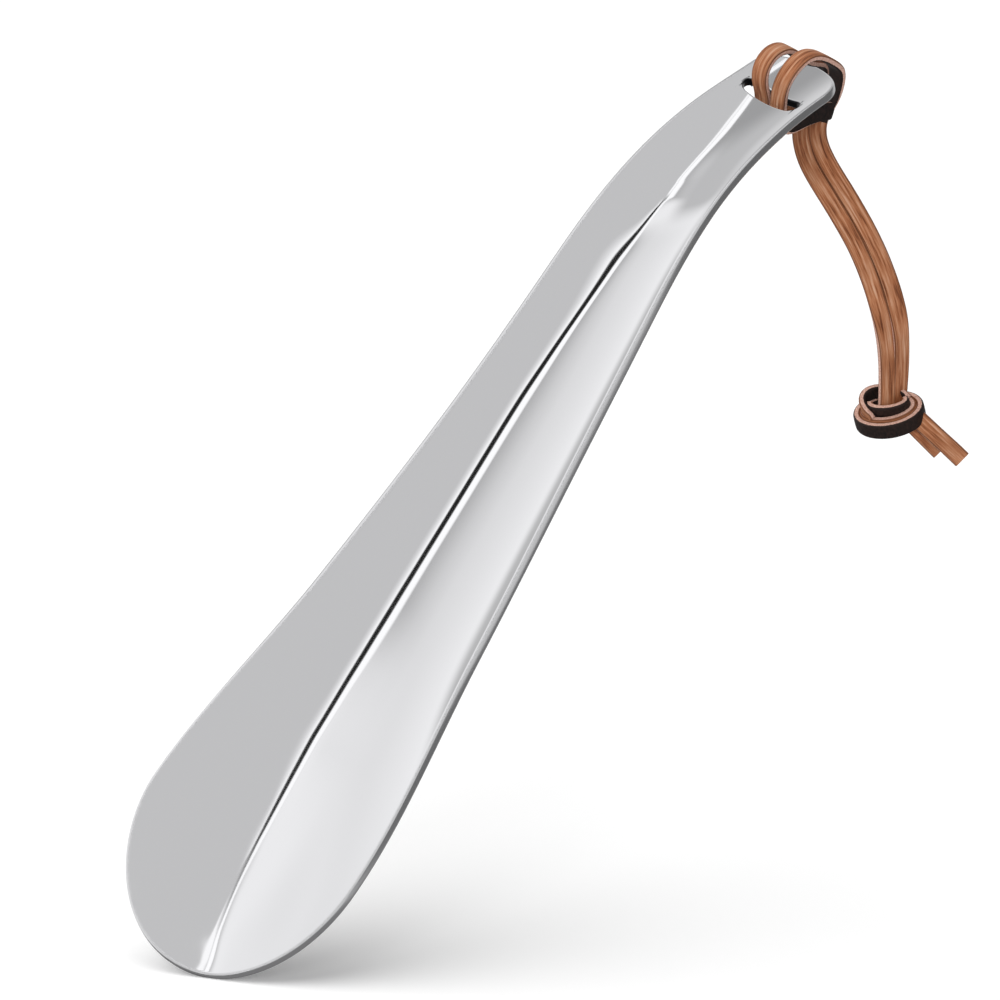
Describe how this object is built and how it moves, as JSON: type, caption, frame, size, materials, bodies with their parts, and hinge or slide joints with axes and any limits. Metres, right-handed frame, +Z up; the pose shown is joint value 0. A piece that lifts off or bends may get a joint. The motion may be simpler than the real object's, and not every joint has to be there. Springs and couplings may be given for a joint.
{
  "type": "shoehorn",
  "caption": "Hand shoehorn: a curved polished steel trough with a bent-back handle end, and a knotted leather lace hitched through a slot in it.",
  "frame": {"origin": "the place of the hand, on the bottom of the trough where the shaft is held", "axes": "+Z up along the leaning blade towards the handle end, +X to the right as the picture shows it, +Y away from the viewer"},
  "size_m": [0.1465, 0.0753, 0.1531],
  "materials": {
    "polished_steel": "polished stainless steel sheet with rounded edges",
    "leather": "tan smooth face, dark raw back, pale cut edges"
  },
  "bodies": {
    "shoehorn": {"blade": "polished_steel", "lace_loop_right": "leather", "lace_bight": "leather", "lace_loop_left": "leather"},
    "strap": {"lace_strand_right": "leather", "lace_strand_left": "leather", "lace_knot": "leather", "lace_tail_short": "leather", "lace_tail_long": "leather"}
  },
  "joints": [
    {"name": "strap_swing", "type": "hinge", "parent": "shoehorn", "child": "strap", "pos_m": [0.04409, 0.03171, 0.04281], "axis": [0.9495, -0.206, -0.2366], "range_deg": [-25, 15]}
  ]
}
